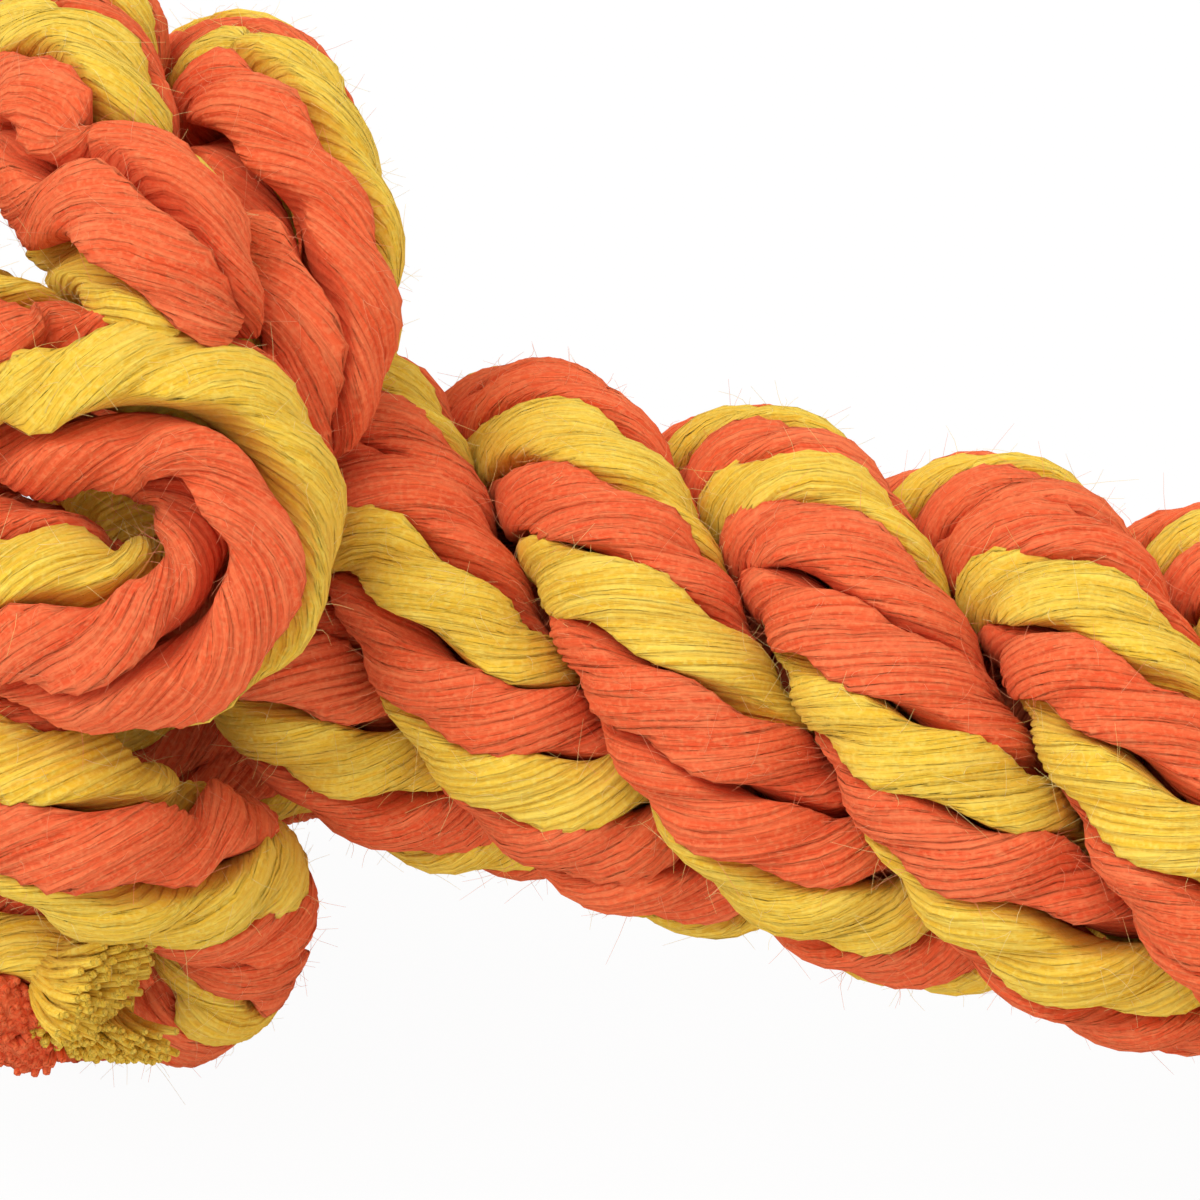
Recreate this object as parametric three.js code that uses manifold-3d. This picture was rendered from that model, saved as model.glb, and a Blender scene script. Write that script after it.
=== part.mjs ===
// Rope dog toy: four thick cotton ropes laid round a heart rope make the grip,
// and at each end the same four ropes fold back over themselves into a round knot.
// Millimetres, +Z up. The toy lies on its two knots, along X.
import * as THREE from 'three';
import { mergeVertices } from 'three/addons/utils/BufferGeometryUtils.js';
import Module from 'manifold-3d';

// Driving dimensions
const gripLength = 112; // between the necks of the two knots
const layLength = 80; // of one full turn of a rope round the grip
const ropeDiameter = 14.5; // in the grip, where the ropes are pulled tight
const knotRopeDiameter = 14.9; // in a knot, where they lie looser
const heartDiameter = 14.1;
const heartReach = 28; // of the heart rope into each knot
const straightDepth = 33; // past the neck, to which the ropes run along the heart rope
const knotLength = 64;
const knotDiameter = 98;
const ropeGap = 0.4; // between two ropes that touch
const settlingGap = 0.9; // that two ropes of a knot are pushed apart to
const swellLength = 12; // in which a rope grows from tight to loose
const tightLength = 6; // past the neck, in which the ropes keep the grip's lay
const tightestBend = 9.2; // radius of a rope's middle line
const sampleLength = 4; // between two points of a middle line
const restingCut = 1.42; // depth of the flats that the toy rests on
const cutOverrun = 20;

// Counts, shares and turns in degrees
const ropeCount = 4;
const ropeSides = 8;
const heartSides = 16;
const firstTurn = 14; // of the first rope at the neck, from the top towards the front
const restingRoll = 4; // about the toy's length, onto its steadiest side
const knotLayShare = 0.46; // of the grip's twist that is left inside a knot
const lengthShare = 0.93; // of a drawn route's length that the rope keeps
const knotSquareness = 2.6; // power of the knot's rounded outline
const settlingSteps = 420;

const turn = Math.PI / 180;
const neckPlace = gripLength / 2;
const gripTwist = 360 / layLength;
const gripRadius = heartDiameter / 2 + ropeGap + ropeDiameter / 2;
const innerRadius = heartDiameter / 2 + ropeGap + knotRopeDiameter / 2;

// Where each rope goes in a knot, once it has passed along the heart rope. Each row is
// [depth past the neck as a share of the knot's length, turn in degrees, radius as a
// share of the knot's], in hundredths. Turn 0 is straight up, more is towards the front.
const wrapShares = [
  [
    [61, -113, 39], [64, -133, 55], [62, -147, 71], [52, -150, 82], [33, -150, 84],
    [20, -143, 76], [19, -130, 73], [30, -119, 82], [45, -115, 84], [59, -111, 82],
    [67, -99, 76], [58, -86, 82], [52, -83, 82], [41, -79, 78], [38, -65, 73], [44, -53, 80],
    [48, -41, 80], [45, -27, 80], [34, -13, 80], [23, -4, 78], [14, 3, 71], [8, 12, 65],
  ],
  [
    [61, 157, 39], [64, 133, 51], [61, 111, 61], [52, 95, 59], [38, 87, 67], [23, 88, 78],
    [14, 97, 76], [9, 115, 67], [12, 137, 69], [20, 153, 80], [34, 158, 88], [50, 158, 86],
    [62, 165, 80], [64, 179, 76], [56, -172, 82], [44, -171, 84], [31, -172, 82],
  ],
  [
    [59, 99, 33], [62, 75, 39], [64, 53, 51], [62, 42, 63], [58, 38, 76], [50, 39, 84],
    [33, 40, 86], [19, 40, 80], [6, 39, 71], [-2, 52, 65], [2, 65, 65], [11, 70, 76],
    [23, 67, 84], [38, 66, 86], [52, 76, 86], [59, 94, 84], [55, 113, 84], [41, 124, 84],
    [23, 123, 84], [11, 119, 82],
  ],
  [
    [61, 10, 31], [72, -7, 27], [81, -39, 20], [84, -98, 20], [84, -158, 24], [83, 142, 33],
    [81, 82, 43], [78, 27, 55], [72, -8, 67], [64, -25, 76], [56, -28, 80], [50, -23, 80],
    [42, -5, 82], [31, 10, 82], [23, 21, 78],
  ],
];

const ropeColours = [0xe0562c, 0xe6bd3c, 0xdb4f28, 0xe9c244];
const heartColour = 0xe2b93f;
const cotton = { roughness: 0.92, metalness: 0 };

// One end of the toy is worked out with its neck at x = 0 and its knot towards +x.
function pointAt(depth, degrees, radius) {
  const angle = degrees * turn;
  return new THREE.Vector3(depth, -radius * Math.sin(angle), radius * Math.cos(angle));
}

function innerTurn(ropeIndex, depth) {
  const tight = Math.min(depth, tightLength);
  const twist = tight + (depth - tight) * knotLayShare;
  return firstTurn - (360 / ropeCount) * ropeIndex - gripTwist * twist;
}

function ropeDiameterAt(depth) {
  const share = Math.min(1, Math.max(0, depth / swellLength));
  return ropeDiameter + (knotRopeDiameter - ropeDiameter) * share * share * (3 - 2 * share);
}

// The hand-chosen route: along the heart rope first, then over the outside of the knot.
function drawnRoute(ropeIndex) {
  const route = [];
  const innerCount = 7;
  for (let step = 0; step < innerCount; step += 1) {
    const depth = (straightDepth * step) / (innerCount - 1);
    const blend = Math.min(1, depth / swellLength);
    const radius = gripRadius + (innerRadius - gripRadius) * blend;
    route.push([depth, innerTurn(ropeIndex, depth), radius]);
  }
  for (const [depthShare, degrees, radiusShare] of wrapShares[ropeIndex]) {
    const previous = route[route.length - 1][1];
    const nearTurn = degrees + 360 * Math.round((previous - degrees) / 360);
    route.push([(depthShare / 100) * knotLength, nearTurn, (radiusShare / 200) * knotDiameter]);
  }
  return route;
}

// Points a sample length apart on a smooth curve through the route.
function evenPoints(route) {
  const fineCount = 12;
  const at = (index) => {
    const last = route.length - 1;
    if (index < 0) return route[0].map((value, axis) => 2 * value - route[1][axis]);
    if (index > last) return route[last].map((value, axis) => 2 * value - route[last - 1][axis]);
    return route[index];
  };
  const fine = [];
  for (let index = 0; index < route.length - 1; index += 1) {
    const [a, b, c, d] = [at(index - 1), at(index), at(index + 1), at(index + 2)];
    for (let step = 0; step < fineCount; step += 1) {
      const u = step / fineCount;
      const mix = a.map((_, axis) => 0.5 * (2 * b[axis] + (c[axis] - a[axis]) * u
        + (2 * a[axis] - 5 * b[axis] + 4 * c[axis] - d[axis]) * u * u
        + (3 * b[axis] - a[axis] - 3 * c[axis] + d[axis]) * u * u * u));
      fine.push(pointAt(...mix));
    }
  }
  fine.push(pointAt(...route[route.length - 1]));
  return spaced(fine, sampleLength);
}

function spaced(points, spacing) {
  const along = [0];
  for (let index = 1; index < points.length; index += 1) {
    along.push(along[index - 1] + points[index].distanceTo(points[index - 1]));
  }
  const total = along[along.length - 1];
  const count = Math.round(total / spacing);
  const result = [];
  let piece = 1;
  for (let step = 0; step <= count; step += 1) {
    const want = (total * step) / count;
    while (piece < along.length - 1 && along[piece] < want) piece += 1;
    const part = (want - along[piece - 1]) / (along[piece] - along[piece - 1]);
    result.push(points[piece - 1].clone().lerp(points[piece], part));
  }
  return result;
}

// The grip's ropes near the neck, which the knot's ropes lie against.
function gripStubs() {
  const stubs = [];
  const stubLength = 2.5 * ropeDiameter;
  for (let ropeIndex = 0; ropeIndex < ropeCount; ropeIndex += 1) {
    for (let step = 1; step < 14; step += 1) {
      const depth = (-stubLength * step) / 13;
      const degrees = firstTurn - (360 / ropeCount) * ropeIndex - gripTwist * depth;
      stubs.push({ rope: ropeIndex, place: pointAt(depth, degrees, gripRadius) });
    }
  }
  return stubs;
}

// Pulls the four drawn routes into a knot that lies together: no two ropes closer than
// their thickness, no bend too tight, each rope keeping its length, all inside the knot.
function settledKnot() {
  const beads = [];
  for (let rope = 0; rope < ropeCount; rope += 1) {
    evenPoints(drawnRoute(rope)).forEach((place, order) => {
      beads.push({ rope, order, place, drawn: place.clone(), move: new THREE.Vector3() });
    });
  }
  const links = [];
  for (let index = 1; index < beads.length; index += 1) {
    if (beads[index].rope === beads[index - 1].rope) {
      const length = beads[index].place.distanceTo(beads[index - 1].place) * lengthShare;
      links.push([beads[index - 1], beads[index], length]);
    }
  }
  const bends = [];
  for (let span = 1; span <= 3; span += 1) {
    const sagLimit = (span * sampleLength * lengthShare) ** 2 / (2 * tightestBend);
    for (let index = span; index < beads.length - span; index += 1) {
      const [before, middle, after] = [beads[index - span], beads[index], beads[index + span]];
      if (before.rope === after.rope) bends.push([before, middle, after, sagLimit]);
    }
  }
  const stubs = gripStubs();
  const ownReach = Math.ceil((1.9 * knotRopeDiameter) / sampleLength);
  const moveLimit = 0.3 * sampleLength;
  const centre = new THREE.Vector3(knotLength / 2, 0, 0);
  const halfLength = (knotLength - knotRopeDiameter) / 2;
  const halfWidth = (knotDiameter - knotRopeDiameter) / 2;
  const offset = new THREE.Vector3();

  function applyMoves(limit) {
    for (const bead of beads) {
      if (bead.order > 1) bead.place.add(bead.move.clampLength(0, limit));
      bead.move.set(0, 0, 0);
    }
  }

  function partRopes() {
    for (let one = 0; one < beads.length; one += 1) {
      const first = beads[one];
      const firstDiameter = ropeDiameterAt(first.place.x);
      for (let two = one + 1; two < beads.length; two += 1) {
        const second = beads[two];
        if (first.rope === second.rope && second.order - first.order < ownReach) continue;
        offset.subVectors(first.place, second.place);
        const distance = offset.length();
        const wanted = (firstDiameter + ropeDiameterAt(second.place.x)) / 2 + settlingGap;
        if (distance >= wanted) continue;
        offset.multiplyScalar((0.3 * (wanted - distance)) / distance);
        first.move.add(offset);
        second.move.sub(offset);
      }
      for (const stub of stubs) {
        if (stub.rope === first.rope && first.order < ownReach) continue;
        offset.subVectors(first.place, stub.place);
        const distance = offset.length();
        const wanted = (firstDiameter + ropeDiameter) / 2 + settlingGap;
        if (distance < wanted) first.move.addScaledVector(offset, (0.5 * (wanted - distance)) / distance);
      }
      const fromAxis = Math.hypot(first.place.y, first.place.z);
      const clear = heartDiameter / 2 + ropeGap + firstDiameter / 2;
      if (first.place.x < heartReach + clear && fromAxis < clear) {
        const push = (0.5 * (clear - fromAxis)) / fromAxis;
        first.move.y += first.place.y * push;
        first.move.z += first.place.z * push;
      }
    }
  }

  function keepInside() {
    for (const bead of beads) {
      const lengthwise = bead.place.x - centre.x;
      const sideways = Math.hypot(bead.place.y, bead.place.z);
      const reach = (Math.abs(lengthwise / halfLength) ** knotSquareness
        + (sideways / halfWidth) ** knotSquareness) ** (1 / knotSquareness);
      if (reach <= 1 || lengthwise < -0.6 * halfLength) continue;
      offset.subVectors(centre, bead.place);
      bead.move.addScaledVector(offset, 0.3 * (1 - 1 / reach));
    }
  }

  function easeBendsAndLengths() {
    for (const [before, middle, after, sagLimit] of bends) {
      offset.addVectors(before.place, after.place).multiplyScalar(-0.5).add(middle.place);
      const sag = offset.length();
      if (sag <= sagLimit) continue;
      offset.multiplyScalar((0.16 * (sag - sagLimit)) / sag);
      middle.move.sub(offset);
      before.move.addScaledVector(offset, 0.5);
      after.move.addScaledVector(offset, 0.5);
    }
    for (const [near, far, length] of links) {
      offset.subVectors(far.place, near.place);
      offset.multiplyScalar(0.25 * (1 - length / offset.length()));
      near.move.add(offset);
      far.move.sub(offset);
    }
  }

  for (let step = 0; step < settlingSteps; step += 1) {
    const hold = 0.16 * Math.max(0, 1 - step / (0.55 * settlingSteps));
    partRopes();
    for (const bead of beads) {
      offset.subVectors(bead.drawn, bead.place);
      bead.move.addScaledVector(offset, hold);
    }
    keepInside();
    applyMoves(moveLimit);
    for (let round = 0; round < 3; round += 1) {
      easeBendsAndLengths();
      applyMoves(moveLimit);
    }
  }
  return Array.from({ length: ropeCount }, (_, rope) => (
    beads.filter((bead) => bead.rope === rope).map((bead) => bead.place)
  ));
}

// The second knot is the first one turned end for end about the vertical, then rolled
// about the toy's length until its four ropes meet those of the grip.
const knot = settledKnot();
const wholeSteps = Math.round((2 * firstTurn + gripTwist * gripLength) / (360 / ropeCount));
const secondRoll = 2 * firstTurn + gripTwist * gripLength - (360 / ropeCount) * wholeSteps;

function atFirstEnd(point) {
  return new THREE.Vector3(-neckPlace - point.x, point.y, point.z);
}

function atSecondEnd(point) {
  const turned = new THREE.Vector3(neckPlace + point.x, -point.y, point.z);
  return turned.applyAxisAngle(new THREE.Vector3(1, 0, 0), secondRoll * turn);
}

// The whole middle line of one rope: first knot, grip, second knot, with its thickness.
function wholeRope(ropeIndex) {
  const partner = (((wholeSteps - ropeIndex) % ropeCount) + ropeCount) % ropeCount;
  const firstPart = knot[ropeIndex].slice(1).reverse();
  const secondPart = knot[partner].slice(1);
  const places = firstPart.map(atFirstEnd);
  const gripSteps = Math.round(gripLength / (0.72 * sampleLength));
  for (let step = 0; step <= gripSteps; step += 1) {
    const x = -neckPlace + (gripLength * step) / gripSteps;
    const degrees = firstTurn - (360 / ropeCount) * ropeIndex + gripTwist * (x + neckPlace);
    places.push(pointAt(x, degrees, gripRadius));
  }
  places.push(...secondPart.map(atSecondEnd));
  return places;
}

// A closed tube of flat sides whose thickness follows the distance past the neck.
function ropeGeometry(places) {
  const curve = new THREE.CatmullRomCurve3(places, false, 'centripetal');
  const line = spaced(curve.getPoints(places.length * 6), 1.1 * sampleLength);
  const positions = [];
  const indices = [];
  const side = new THREE.Vector3(0, 1, 0);
  line.forEach((place, index) => {
    const ahead = line[Math.min(index + 1, line.length - 1)];
    const behind = line[Math.max(index - 1, 0)];
    const along = new THREE.Vector3().subVectors(ahead, behind).normalize();
    side.addScaledVector(along, -side.dot(along)).normalize();
    const across = new THREE.Vector3().crossVectors(along, side);
    const radius = ropeDiameterAt(Math.abs(place.x) - neckPlace) / 2;
    for (let corner = 0; corner < ropeSides; corner += 1) {
      const angle = (2 * Math.PI * corner) / ropeSides;
      const point = place.clone()
        .addScaledVector(side, radius * Math.cos(angle))
        .addScaledVector(across, radius * Math.sin(angle));
      positions.push(point.x, point.y, point.z);
    }
    if (index === 0) return;
    for (let corner = 0; corner < ropeSides; corner += 1) {
      const next = (corner + 1) % ropeSides;
      const [a, b] = [(index - 1) * ropeSides + corner, (index - 1) * ropeSides + next];
      const [c, d] = [index * ropeSides + corner, index * ropeSides + next];
      indices.push(a, b, d, a, d, c);
    }
  });
  const lastRing = (line.length - 1) * ropeSides;
  for (let corner = 1; corner < ropeSides - 1; corner += 1) {
    indices.push(0, corner + 1, corner);
    indices.push(lastRing, lastRing + corner, lastRing + corner + 1);
  }
  const geometry = new THREE.BufferGeometry();
  geometry.setAttribute('position', new THREE.Float32BufferAttribute(positions, 3));
  geometry.setIndex(indices);
  return geometry;
}

function heartGeometry() {
  const length = gripLength + 2 * heartReach;
  const geometry = new THREE.CylinderGeometry(heartDiameter / 2, heartDiameter / 2, length, heartSides);
  geometry.rotateZ(Math.PI / 2);
  return geometry;
}

// Cutting the flats where the knots rest
const wasm = await Module();
wasm.setup();

function toSolid(geometry) {
  const plain = geometry.clone();
  plain.deleteAttribute('normal');
  plain.deleteAttribute('uv');
  const merged = mergeVertices(plain);
  return new wasm.Manifold(new wasm.Mesh({
    numProp: 3,
    vertProperties: new Float32Array(merged.attributes.position.array),
    triVerts: new Uint32Array(merged.index.array),
  }));
}

function toGeometry(solid) {
  const mesh = solid.getMesh();
  const geometry = new THREE.BufferGeometry();
  geometry.setAttribute('position', new THREE.BufferAttribute(mesh.vertProperties, 3));
  geometry.setIndex(new THREE.BufferAttribute(mesh.triVerts, 1));
  return geometry;
}

function cutAtRest(geometry, floorHeight) {
  geometry.computeBoundingBox();
  if (geometry.boundingBox.min.z >= floorHeight) return geometry;
  const length = gripLength + 2 * knotLength + 2 * cutOverrun;
  const width = knotDiameter + 2 * cutOverrun;
  const below = new THREE.BoxGeometry(length, width, cutOverrun);
  below.translate(0, 0, floorHeight - cutOverrun / 2);
  return toGeometry(toSolid(geometry).subtract(toSolid(below)));
}

function leastGap(routes) {
  let least = Infinity;
  routes.forEach((route, one) => {
    for (const other of routes.slice(one + 1)) {
      for (const first of route) {
        for (const second of other) {
          const thickness = (ropeDiameterAt(Math.abs(first.x) - neckPlace)
            + ropeDiameterAt(Math.abs(second.x) - neckPlace)) / 2;
          least = Math.min(least, first.distanceTo(second) - thickness);
        }
      }
    }
  });
  return least;
}

const lengthAxis = new THREE.Vector3(1, 0, 0);
const routes = Array.from({ length: ropeCount }, (_, ropeIndex) => (
  wholeRope(ropeIndex).map((place) => place.applyAxisAngle(lengthAxis, restingRoll * turn))
));
console.log('least gap between two ropes, mm:', leastGap(routes).toFixed(2));

const shapes = routes.map((route, ropeIndex) => ({
  name: `rope_${ropeIndex + 1}`,
  geometry: ropeGeometry(route),
  colour: ropeColours[ropeIndex],
}));
shapes.push({ name: 'heart_rope', geometry: heartGeometry(), colour: heartColour });

const bounds = new THREE.Box3();
for (const { geometry } of shapes) {
  geometry.computeBoundingBox();
  bounds.union(geometry.boundingBox);
}
const floorHeight = bounds.min.z + restingCut;
const middle = bounds.getCenter(new THREE.Vector3());

const toy = new THREE.Group();
toy.name = 'rope_dog_toy';
for (const { name, geometry, colour } of shapes) {
  const material = new THREE.MeshStandardMaterial({ color: colour, ...cotton });
  const mesh = new THREE.Mesh(cutAtRest(geometry, floorHeight), material);
  mesh.name = name;
  mesh.position.set(-middle.x, -middle.y, -floorHeight);
  toy.add(mesh);
}

export default toy;
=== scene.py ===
# %% [markdown]
# # A rope dog toy
# The toy is a large cotton rope dumbbell. Four thick ropes are laid round a heart rope and
# make the grip, and at each end the same four ropes fold back over themselves into a knot.
# Each rope is itself laid from five cords, three orange and two yellow, and each cord is
# twisted from two plies of soft yarn. That make-up is what gives the toy its look: fat
# slanting bands that swell and narrow where their plies turn, and single yarns along them.

import math

import bpy
import numpy as np
from mathutils import Matrix, Vector


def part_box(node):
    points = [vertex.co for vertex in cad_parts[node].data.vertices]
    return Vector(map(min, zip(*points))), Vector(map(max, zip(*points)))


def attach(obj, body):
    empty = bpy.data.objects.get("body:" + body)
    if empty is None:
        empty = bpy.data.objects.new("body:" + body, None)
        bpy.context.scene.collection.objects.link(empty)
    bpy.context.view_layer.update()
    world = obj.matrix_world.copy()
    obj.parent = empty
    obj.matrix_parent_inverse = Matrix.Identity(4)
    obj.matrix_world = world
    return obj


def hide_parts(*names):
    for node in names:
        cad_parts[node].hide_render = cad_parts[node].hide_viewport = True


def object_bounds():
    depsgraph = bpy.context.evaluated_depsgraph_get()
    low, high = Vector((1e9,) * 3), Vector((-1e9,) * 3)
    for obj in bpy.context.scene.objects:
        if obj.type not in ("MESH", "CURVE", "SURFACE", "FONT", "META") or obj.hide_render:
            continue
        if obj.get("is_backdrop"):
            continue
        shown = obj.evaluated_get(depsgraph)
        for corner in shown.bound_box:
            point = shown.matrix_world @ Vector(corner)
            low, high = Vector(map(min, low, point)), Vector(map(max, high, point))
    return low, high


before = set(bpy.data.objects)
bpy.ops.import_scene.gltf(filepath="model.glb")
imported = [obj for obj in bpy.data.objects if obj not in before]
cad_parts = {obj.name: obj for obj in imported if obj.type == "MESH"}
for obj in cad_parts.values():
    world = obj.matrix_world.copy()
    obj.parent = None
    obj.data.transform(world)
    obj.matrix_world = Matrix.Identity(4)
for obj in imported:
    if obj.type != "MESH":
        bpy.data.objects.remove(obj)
cad_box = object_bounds()
MM = 0.001
print("frame nodes:", sorted(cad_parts))

# %% [markdown]
# ## Where the toy lies
# The heart rope is a straight bar along the toy, so the middle of its box is the middle of
# the grip. All the places below are measured from there, in millimetres, with x along the
# toy. The neck is where the grip meets a knot.

# %% Measure the grip from the frame
heart_low, heart_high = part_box("heart_rope")
GRIP_MIDDLE = np.array((heart_low + heart_high) / 2) / MM
HEART_DIAMETER = (heart_high.z - heart_low.z) / MM
HEART_REACH = 28.0
GRIP_LENGTH = (heart_high.x - heart_low.x) / MM - 2 * HEART_REACH
NECK = GRIP_LENGTH / 2
print("grip", round(GRIP_LENGTH, 1), "mm long, heart rope", round(HEART_DIAMETER, 1), "mm thick")

# %% [markdown]
# ## The camera
# A close view with a long lens: the toy runs from the knot at the left down to the right,
# out of the frame. The toy lies rolled a few degrees about its length to stand steady, so
# the camera is rolled with it and sees the same side as the photograph does.

# %% Set up the camera
VIEW_TURN = math.radians(23.2)
VIEW_HEIGHT = math.radians(32.0)
VIEW_DISTANCE = 320.0
RESTING_ROLL = 4.0
PIXELS_PER_MM = 12
PIXELS_ABOVE_AXIS = 40
FRAME_MIDDLE_ABOVE_AXIS = PIXELS_ABOVE_AXIS / PIXELS_PER_MM
FIRST_NECK_IN_VIEW = -18.5
LENS = 115.2
SENSOR = 36.0
NEAREST_SEEN = 0.01  # metres
FARTHEST_SEEN = 20

view_back = Vector((math.sin(VIEW_TURN) * math.cos(VIEW_HEIGHT),
                    -math.cos(VIEW_TURN) * math.cos(VIEW_HEIGHT), math.sin(VIEW_HEIGHT)))
view_right = Vector((math.cos(VIEW_TURN), math.sin(VIEW_TURN), 0))
view_up = view_back.cross(view_right)
view_place = view_up * FRAME_MIDDLE_ABOVE_AXIS + view_back * VIEW_DISTANCE
roll = Matrix.Rotation(math.radians(RESTING_ROLL), 3, "X")
to_toy = Vector((-NECK - FIRST_NECK_IN_VIEW, 0, 0)) + Vector(GRIP_MIDDLE)

camera = bpy.data.objects.new("camera", bpy.data.cameras.new("camera"))
bpy.context.scene.collection.objects.link(camera)
camera.data.lens = LENS
camera.data.sensor_width = SENSOR
camera.data.clip_start = NEAREST_SEEN
camera.data.clip_end = FARTHEST_SEEN
turned = roll @ Matrix((view_right, view_up, view_back)).transposed()
camera.matrix_world = Matrix.Translation((roll @ view_place + to_toy) * MM) @ turned.to_4x4()
bpy.context.scene.camera = camera
print("camera at", [round(value, 3) for value in camera.matrix_world.translation])

# %% [markdown]
# ## The routes of the ropes
# A knot like this can't be drawn with a formula. Each rope's way is a short list of points:
# how deep past the neck, how far round, and how far out. Turn 0 is straight up and more is
# towards the front. The lists are the same as the ones the solids use.

# %% Name the sizes of the ropes
# Lengths are in millimetres and turns in degrees.
ROPES = 4
ROPE = 14.5
KNOT_ROPE = 14.9
SWELL = 12.0
LAY_LENGTH = 80.0
ROPE_GAP = 0.4
KNOT_LENGTH = 64.0
KNOT_DIAMETER = 98.0
GRIP_TWIST = 360 / LAY_LENGTH
GRIP_RADIUS = HEART_DIAMETER / 2 + ROPE_GAP + ROPE / 2
INNER_RADIUS = HEART_DIAMETER / 2 + ROPE_GAP + KNOT_ROPE / 2
print("the ropes' middle lines are", round(GRIP_RADIUS, 2), "mm from the grip's")

# %% List the routes
# In each row: depth as a share of the knot's length, turn in degrees, radius as a share of
# the knot's, the shares in hundredths.
WRAP_SHARES = [
    [
        [61, -113, 39], [64, -133, 55], [62, -147, 71], [52, -150, 82], [33, -150, 84],
        [20, -143, 76], [19, -130, 73], [30, -119, 82], [45, -115, 84], [59, -111, 82],
        [67, -99, 76], [58, -86, 82], [52, -83, 82], [41, -79, 78], [38, -65, 73], [44, -53, 80],
        [48, -41, 80], [45, -27, 80], [34, -13, 80], [23, -4, 78], [14, 3, 71], [8, 12, 65],
    ],
    [
        [61, 157, 39], [64, 133, 51], [61, 111, 61], [52, 95, 59], [38, 87, 67], [23, 88, 78],
        [14, 97, 76], [9, 115, 67], [12, 137, 69], [20, 153, 80], [34, 158, 88], [50, 158, 86],
        [62, 165, 80], [64, 179, 76], [56, -172, 82], [44, -171, 84], [31, -172, 82],
    ],
    [
        [59, 99, 33], [62, 75, 39], [64, 53, 51], [62, 42, 63], [58, 38, 76], [50, 39, 84],
        [33, 40, 86], [19, 40, 80], [6, 39, 71], [-2, 52, 65], [2, 65, 65], [11, 70, 76],
        [23, 67, 84], [38, 66, 86], [52, 76, 86], [59, 94, 84], [55, 113, 84], [41, 124, 84],
        [23, 123, 84], [11, 119, 82],
    ],
    [
        [61, 10, 31], [72, -7, 27], [81, -39, 20], [84, -98, 20], [84, -158, 24], [83, 142, 33],
        [81, 82, 43], [78, 27, 55], [72, -8, 67], [64, -25, 76], [56, -28, 80], [50, -23, 80],
        [42, -5, 82], [31, 10, 82], [23, 21, 78],
    ],
]
print("points drawn by hand:", sum(len(rows) for rows in WRAP_SHARES))


# %% Make helpers for points and lines
def point_at(depth, degrees, radius):
    """Points round the toy's axis, with depth counted from a neck."""
    angle = np.radians(degrees)
    return np.stack([depth + 0 * angle, -radius * np.sin(angle), radius * np.cos(angle)], -1)


def rope_diameter(depth):
    """A rope is pulled tight in the grip and swells a little past the neck."""
    share = np.clip(depth / SWELL, 0, 1)
    return ROPE + (KNOT_ROPE - ROPE) * share * share * (3 - 2 * share)


def spaced(points, spacing):
    """The same line with its points an even distance apart."""
    along = np.r_[0, np.cumsum(np.linalg.norm(np.diff(points, axis=0), axis=1))]
    count = int(round(along[-1] / spacing))
    wanted = np.linspace(0, along[-1], count + 1)
    return np.stack([np.interp(wanted, along, points[:, axis]) for axis in range(3)], -1)


def smooth_line(points, between):
    """A smooth curve through all the points, with some more between each two."""
    ends = np.vstack([2 * points[0] - points[1], points, 2 * points[-1] - points[-2]])
    u = (np.arange(between) / between)[None, :, None]
    a, b, c, d = (ends[shift:len(ends) - 3 + shift][:, None] for shift in range(4))
    curve = 0.5 * (2 * b + (c - a) * u + (2 * a - 5 * b + 4 * c - d) * u ** 2
                   + (3 * b - a - 3 * c + d) * u ** 3)
    return np.vstack([curve.reshape(-1, 3), points[-1:]])


def line_length(line):
    """The length of a line of points."""
    return float(np.linalg.norm(np.diff(line, axis=0), axis=1).sum())


print("a rope is", rope_diameter(0.0), "mm thick at the neck,", rope_diameter(SWELL), "in a knot")

# %% Draw the routes
SAMPLE = 4.0  # from one point of a rope's middle line to the next
STRAIGHT = 33.0  # how far a rope runs along the heart rope inside a knot
STRAIGHT_POINTS = 7
POINTS_BETWEEN = 12
TIGHT = 6.0
FIRST_TURN = 14.0
KNOT_LAY_SHARE = 0.46
PERCENT = 100


def drawn_route(rope):
    """The given way of a rope: along the heart rope, then over the knot."""
    depth = np.linspace(0, STRAIGHT, STRAIGHT_POINTS)
    tight = np.minimum(depth, TIGHT)
    twist = GRIP_TWIST * (tight + (depth - tight) * KNOT_LAY_SHARE)
    radius = GRIP_RADIUS + (INNER_RADIUS - GRIP_RADIUS) * np.minimum(1, depth / SWELL)
    rows = list(np.stack([depth, FIRST_TURN - 360 / ROPES * rope - twist, radius], -1))
    for depth_share, degrees, radius_share in WRAP_SHARES[rope]:
        near = degrees + 360 * round((rows[-1][1] - degrees) / 360)
        rows.append(np.array([depth_share / PERCENT * KNOT_LENGTH, near,
                              radius_share / (2 * PERCENT) * KNOT_DIAMETER]))
    fine = smooth_line(np.array(rows), POINTS_BETWEEN)
    return spaced(point_at(fine[:, 0], fine[:, 1], fine[:, 2]), SAMPLE)


drawn_ropes = [drawn_route(rope) for rope in range(ROPES)]
print("drawn ropes in a knot, mm:", [round(line_length(line)) for line in drawn_ropes])

# %% [markdown]
# ## Settling the knot
# The drawn ropes cut into each other here and there. Real ropes push each other aside, keep
# their length and refuse a sharp bend, so a few hundred small steps do just that to the
# points. It starts near the drawn routes and lets go of them bit by bit.

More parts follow.
